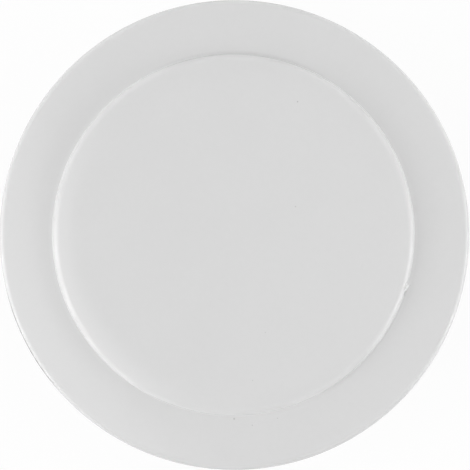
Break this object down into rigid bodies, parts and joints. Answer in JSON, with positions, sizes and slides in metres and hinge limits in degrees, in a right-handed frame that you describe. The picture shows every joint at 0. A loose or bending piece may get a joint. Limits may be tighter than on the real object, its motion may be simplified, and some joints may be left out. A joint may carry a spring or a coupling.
{
  "type": "pipe hole cover",
  "caption": "Round pressed sheet steel cover with a raised flat centre and a rolled rim, held in an unused wall pipe hole by spring wires on its back.",
  "frame": {"origin": "centre of the pipe hole, in the plane of the wall that the rim's lip lies on", "axes": "+Z out of the wall along the pipe's axis, towards the painted front; +Y up on the wall; +X to the right, seen from the front. It lies face up on its four spring legs"},
  "size_m": [0.2032, 0.2032, 0.0502],
  "materials": {
    "white_paint": "semi-gloss white paint on pressed sheet steel",
    "galvanised_strap": "bright galvanised",
    "spring_wire": "bright drawn spring wire"
  },
  "bodies": {
    "root": {"cover_plate": "white_paint", "clip_strap": "galvanised_strap", "upper_spring_wire": "spring_wire", "lower_spring_wire": "spring_wire"}
  },
  "joints": []
}
